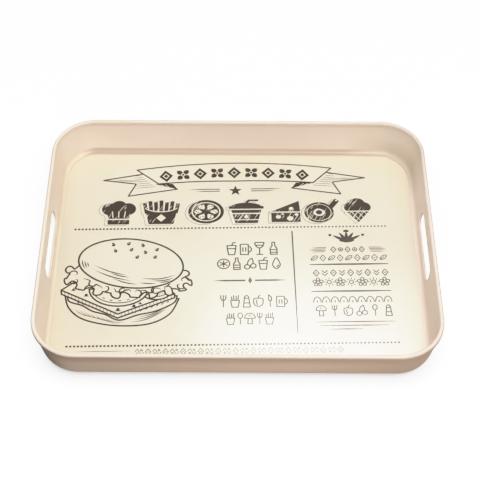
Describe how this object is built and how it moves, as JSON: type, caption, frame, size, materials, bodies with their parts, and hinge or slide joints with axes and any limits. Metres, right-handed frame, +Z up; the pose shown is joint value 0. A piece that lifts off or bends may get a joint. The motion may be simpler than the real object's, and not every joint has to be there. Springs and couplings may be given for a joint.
{
  "type": "serving tray",
  "caption": "Rectangular moulded serving tray with leaning walls, rounded corners, a bead round the rim, a hand slot in each short wall and a printed, glazed floor.",
  "frame": {"origin": "centre of the footprint, on the plane that the tray stands on", "axes": "+X along the long side, towards the hand slot on the right of someone reading the print; +Y along the short side, towards the top of the print; +Z up"},
  "size_m": [0.45, 0.35, 0.05],
  "materials": {
    "shell": "satin moulded, beige cream",
    "print": "matt printed sheet, cream with near-black ink",
    "glaze": "clear gloss overlay"
  },
  "bodies": {
    "root": {"tray_body": "shell", "decor_sheet": "print", "clear_glaze": "glaze"}
  },
  "joints": []
}
